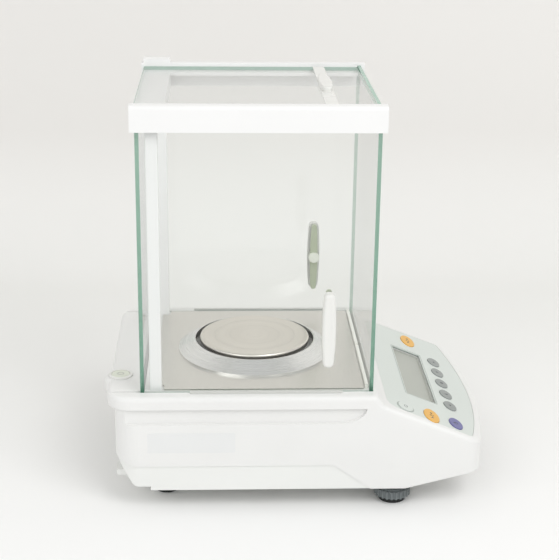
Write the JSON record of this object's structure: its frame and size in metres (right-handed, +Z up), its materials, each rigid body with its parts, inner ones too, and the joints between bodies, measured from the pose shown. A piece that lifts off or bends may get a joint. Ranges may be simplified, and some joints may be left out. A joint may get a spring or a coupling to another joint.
{
  "type": "precision balance",
  "caption": "Precision balance with a glass draft shield of sliding doors, a round weighing pan, a sloping keypad front and levelling feet.",
  "frame": {"origin": "on the surface the balance stands on, at the middle of its whole width and depth", "axes": "+X to the right as seen from the keypad, +Y from the keypad to the rear, +Z up"},
  "size_m": [0.213, 0.325, 0.3425],
  "materials": {
    "housing": "fine satin moulded plastic",
    "tray": "fine satin moulded plastic",
    "film": "smooth matt film",
    "display_glass": "clear window",
    "display": "grey liquid crystal",
    "amber_key": "satin amber",
    "blue_key": "satin blue",
    "grey_key": "satin grey",
    "board": "green circuit board",
    "socket": "black moulding",
    "floor_metal": "fine brushed",
    "pan_metal": "fine circular brush",
    "pane": "clear float glass with green edges",
    "frame": "satin white",
    "handle": "satin white",
    "front_trim": "white",
    "guide_trim": "grey",
    "level_cup": "white",
    "level_lens": "tinted lens",
    "foot_wheel": "dark grey moulding",
    "foot_rubber": "black rubber",
    "cell_metal": "milled",
    "coil_wire": "wound copper wire",
    "magnet_iron": "machined iron",
    "screw_steel": "zinc plated"
  },
  "bodies": {
    "root": {"upper_housing": "housing", "base_tray": "tray", "keypad_film": "film", "display_window": "display_glass", "display_module": "display", "display_board": "board", "main_board": "board", "data_port": "socket", "power_socket": "socket", "position_sensor": "socket", "front_pane": "pane", "rear_pane": "pane", "left_rail": "frame", "right_rail": "frame", "rear_bar": "frame", "left_post": "frame", "right_post": "frame", "front_strip": "front_trim", "door_guides": "guide_trim", "level_body": "level_cup", "level_glass": "level_lens", "rear_feet": "foot_rubber", "cell_base": "cell_metal", "magnet": "magnet_iron", "tray_screws": "screw_steel", "cell_bolts": "screw_steel", "board_screws": "screw_steel"},
    "left_door": {"left_door_glass": "pane", "left_door_handle": "handle", "left_door_clamp": "handle"},
    "right_door": {"right_door_glass": "pane", "right_door_handle": "handle", "right_door_clamp": "handle"},
    "top_door": {"top_door_glass": "pane", "top_door_band": "handle", "top_door_grip": "handle"},
    "receptor": {"hanger": "cell_metal", "pan_support": "pan_metal"},
    "pan": {"pan": "pan_metal"},
    "floor_plate": {"floor_plate": "floor_metal"},
    "shield_ring": {"shield_ring": "floor_metal"},
    "lever": {"lever": "cell_metal", "coil": "coil_wire"},
    "upper_guide": {"upper_guide": "cell_metal"},
    "lower_guide": {"lower_guide": "cell_metal"},
    "left_foot_pad": {"left_foot_pad": "foot_rubber"},
    "left_foot_wheel": {"left_foot_wheel": "foot_wheel"},
    "right_foot_pad": {"right_foot_pad": "foot_rubber"},
    "right_foot_wheel": {"right_foot_wheel": "foot_wheel"},
    "tare_key_left": {"tare_key_left": "amber_key"},
    "tare_key_right": {"tare_key_right": "amber_key"},
    "power_key": {"power_key": "blue_key"},
    "menu_key": {"menu_key": "film"},
    "function_key_1": {"function_key_1": "grey_key"},
    "function_key_2": {"function_key_2": "grey_key"},
    "function_key_3": {"function_key_3": "grey_key"},
    "function_key_4": {"function_key_4": "grey_key"},
    "function_key_5": {"function_key_5": "grey_key"}
  },
  "joints": [
    {"name": "left_door_slide", "type": "slide", "parent": "root", "child": "left_door", "axis": [0, 1, 0], "range_m": [0, 0.125]},
    {"name": "right_door_slide", "type": "slide", "parent": "root", "child": "right_door", "axis": [0, 1, 0], "range_m": [0, 0.125]},
    {"name": "top_door_slide", "type": "slide", "parent": "root", "child": "top_door", "axis": [0, 1, 0], "range_m": [0, 0.125]},
    {"name": "weighing_travel", "type": "slide", "parent": "root", "child": "receptor", "axis": [0, 0, 1], "range_m": [-0.0002, 0.0002], "stiffness_N_per_m": 20000, "springref_m": 0.00008},
    {"name": "pan_lift", "type": "slide", "parent": "receptor", "child": "pan", "axis": [0, 0, 1], "range_m": [0, 0.012]},
    {"name": "plate_lift", "type": "slide", "parent": "root", "child": "floor_plate", "axis": [0, 0, 1], "range_m": [0, 0.012]},
    {"name": "ring_lift", "type": "slide", "parent": "floor_plate", "child": "shield_ring", "axis": [0, 0, 1], "range_m": [0, 0.012]},
    {"name": "lever_pivot", "type": "hinge", "parent": "root", "child": "lever", "pos_m": [0, 0.0755, 0.06], "axis": [1, 0, 0], "range_deg": [-0.5, 0.5]},
    {"name": "upper_guide_flexure", "type": "hinge", "parent": "root", "child": "upper_guide", "pos_m": [0, 0.0685, 0.0805], "axis": [1, 0, 0], "range_deg": [-0.4, 0.4]},
    {"name": "lower_guide_flexure", "type": "hinge", "parent": "root", "child": "lower_guide", "pos_m": [0, 0.0685, 0.0345], "axis": [1, 0, 0], "range_deg": [-0.4, 0.4]},
    {"name": "left_foot_extend", "type": "slide", "parent": "root", "child": "left_foot_pad", "axis": [0, 0, -1], "range_m": [0, 0.008]},
    {"name": "left_foot_turn", "type": "hinge", "parent": "left_foot_pad", "child": "left_foot_wheel", "pos_m": [-0.088, -0.08, 0.009], "axis": [0, 0, 1], "range_deg": [0, 2880]},
    {"name": "right_foot_extend", "type": "slide", "parent": "root", "child": "right_foot_pad", "axis": [0, 0, -1], "range_m": [0, 0.008]},
    {"name": "right_foot_turn", "type": "hinge", "parent": "right_foot_pad", "child": "right_foot_wheel", "pos_m": [0.088, -0.08, 0.009], "axis": [0, 0, 1], "range_deg": [0, 2880]},
    {"name": "tare_key_left_press", "type": "slide", "parent": "root", "child": "tare_key_left", "axis": [0, 0.3746, -0.9272], "range_m": [0, 0.0005], "stiffness_N_per_m": 500, "springref_m": -0.0002},
    {"name": "tare_key_right_press", "type": "slide", "parent": "root", "child": "tare_key_right", "axis": [0, 0.3746, -0.9272], "range_m": [0, 0.0005], "stiffness_N_per_m": 500, "springref_m": -0.0002},
    {"name": "power_key_press", "type": "slide", "parent": "root", "child": "power_key", "axis": [0, 0.3746, -0.9272], "range_m": [0, 0.0005], "stiffness_N_per_m": 500, "springref_m": -0.0002},
    {"name": "menu_key_press", "type": "slide", "parent": "root", "child": "menu_key", "axis": [0, 0.3746, -0.9272], "range_m": [0, 0.0005], "stiffness_N_per_m": 500, "springref_m": -0.0002},
    {"name": "function_key_1_press", "type": "slide", "parent": "root", "child": "function_key_1", "axis": [0, 0.3746, -0.9272], "range_m": [0, 0.0005], "stiffness_N_per_m": 500, "springref_m": -0.0002},
    {"name": "function_key_2_press", "type": "slide", "parent": "root", "child": "function_key_2", "axis": [0, 0.3746, -0.9272], "range_m": [0, 0.0005], "stiffness_N_per_m": 500, "springref_m": -0.0002},
    {"name": "function_key_3_press", "type": "slide", "parent": "root", "child": "function_key_3", "axis": [0, 0.3746, -0.9272], "range_m": [0, 0.0005], "stiffness_N_per_m": 500, "springref_m": -0.0002},
    {"name": "function_key_4_press", "type": "slide", "parent": "root", "child": "function_key_4", "axis": [0, 0.3746, -0.9272], "range_m": [0, 0.0005], "stiffness_N_per_m": 500, "springref_m": -0.0002},
    {"name": "function_key_5_press", "type": "slide", "parent": "root", "child": "function_key_5", "axis": [0, 0.3746, -0.9272], "range_m": [0, 0.0005], "stiffness_N_per_m": 500, "springref_m": -0.0002}
  ],
  "couplings": [
    {"joint": "lever_pivot", "follows": "weighing_travel", "rad_per_m": -37.037},
    {"joint": "upper_guide_flexure", "follows": "weighing_travel", "rad_per_m": -30.303},
    {"joint": "lower_guide_flexure", "follows": "weighing_travel", "rad_per_m": -30.303},
    {"joint": "left_foot_extend", "follows": "left_foot_turn", "m_per_rad": 0.00015915},
    {"joint": "right_foot_extend", "follows": "right_foot_turn", "m_per_rad": 0.00015915}
  ]
}
